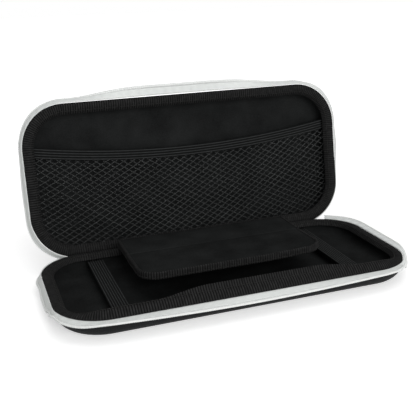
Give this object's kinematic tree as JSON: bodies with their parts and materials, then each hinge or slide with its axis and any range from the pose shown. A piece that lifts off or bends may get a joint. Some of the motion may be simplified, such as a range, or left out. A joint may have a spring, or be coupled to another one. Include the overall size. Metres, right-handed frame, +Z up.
{
  "type": "portable game console case",
  "caption": "Hard moulded zip case for a hand-held console, standing open: leaning lid with a net pocket, base tray with elastic straps and a padded flap.",
  "frame": {"origin": "middle of the base's flat underside", "axes": "+Z up, +X along the hinge, -Y to the front where the case opens"},
  "size_m": [0.2694, 0.1616, 0.1342],
  "materials": {
    "shell_cloth": "matte",
    "lining_cloth": "brushed matte",
    "binding_tape": "ribbed matte",
    "elastic": "ribbed matte",
    "net": "satin",
    "zipper_tape": "woven matte",
    "zipper_coil": "satin",
    "slider_metal": "satin"
  },
  "bodies": {
    "base": {"base_shell": "shell_cloth", "base_binding": "binding_tape", "base_zipper_tape": "zipper_tape", "base_zipper_coil": "zipper_coil", "hinge_spine": "shell_cloth", "left_strap": "elastic", "right_strap": "elastic", "flap_panel": "lining_cloth", "flap_binding": "binding_tape", "flap_root": "lining_cloth"},
    "lid": {"lid_shell": "shell_cloth", "lid_binding": "binding_tape", "lid_zipper_tape": "zipper_tape", "lid_zipper_coil": "zipper_coil", "mesh_pocket": "net", "pocket_hem": "elastic", "left_slider": "slider_metal", "right_slider": "slider_metal"},
    "left_pull": {"left_pull": "slider_metal"},
    "right_pull": {"right_pull": "slider_metal"}
  },
  "joints": [
    {"name": "lid_hinge", "type": "hinge", "parent": "base", "child": "lid", "pos_m": [0, 0.0555, 0.0145], "axis": [-1, 0, 0], "range_deg": [-99.5, 0]},
    {"name": "left_pull_swing", "type": "hinge", "parent": "lid", "child": "left_pull", "pos_m": [-0.0825, 0.06471, 0.00554], "axis": [0, -0.2164, 0.9763], "range_deg": [0, 150]},
    {"name": "right_pull_swing", "type": "hinge", "parent": "lid", "child": "right_pull", "pos_m": [0.0825, 0.06471, 0.00554], "axis": [0, 0.2164, -0.9763], "range_deg": [0, 150]}
  ]
}
